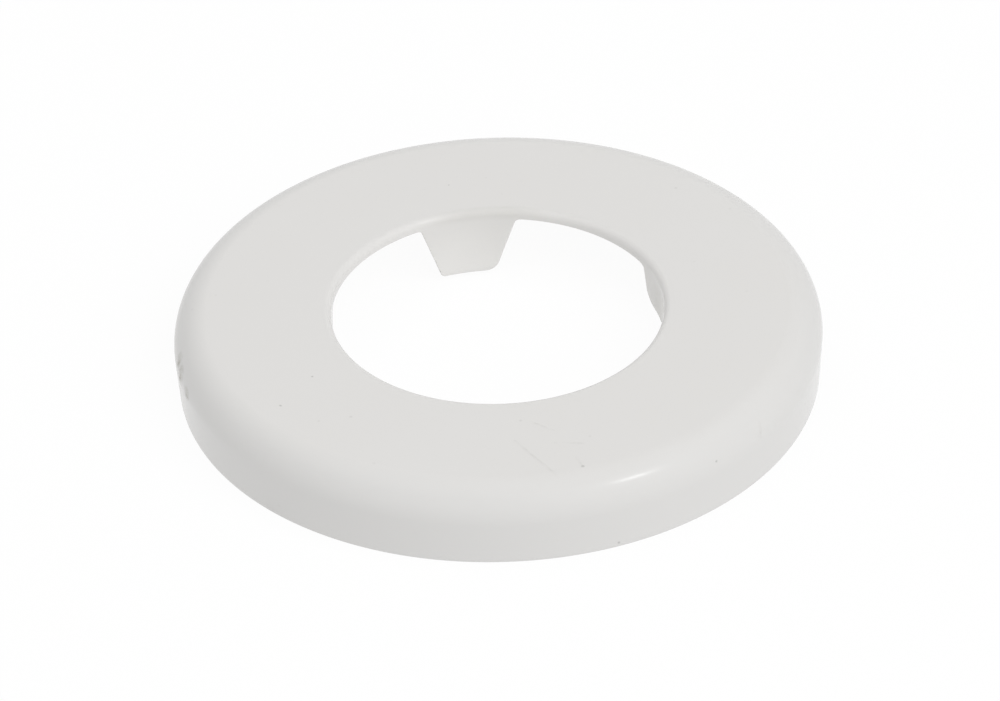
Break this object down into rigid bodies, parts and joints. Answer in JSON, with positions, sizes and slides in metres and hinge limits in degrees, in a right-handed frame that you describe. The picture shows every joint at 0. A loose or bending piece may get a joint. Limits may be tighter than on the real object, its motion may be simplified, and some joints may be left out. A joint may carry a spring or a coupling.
{
  "type": "pipe rosette",
  "caption": "Round white plastic pipe rosette: a hollow ring with a rounded shoulder, a skirt that draws in slightly to the wall and tongues inside its bore, which slips over a pipe and hides the gap at the wall.",
  "frame": {"origin": "centre of the foot, where the pipe's axis meets the wall", "axes": "+Z along the pipe's axis, away from the wall; the short tongues lie near +X and -X, the long ones near +Y and -Y"},
  "size_m": [0.1, 0.1, 0.0124],
  "materials": {
    "white_plastic": "satin as moulded, off-white"
  },
  "bodies": {
    "root": {"rosette": "white_plastic"}
  },
  "joints": []
}
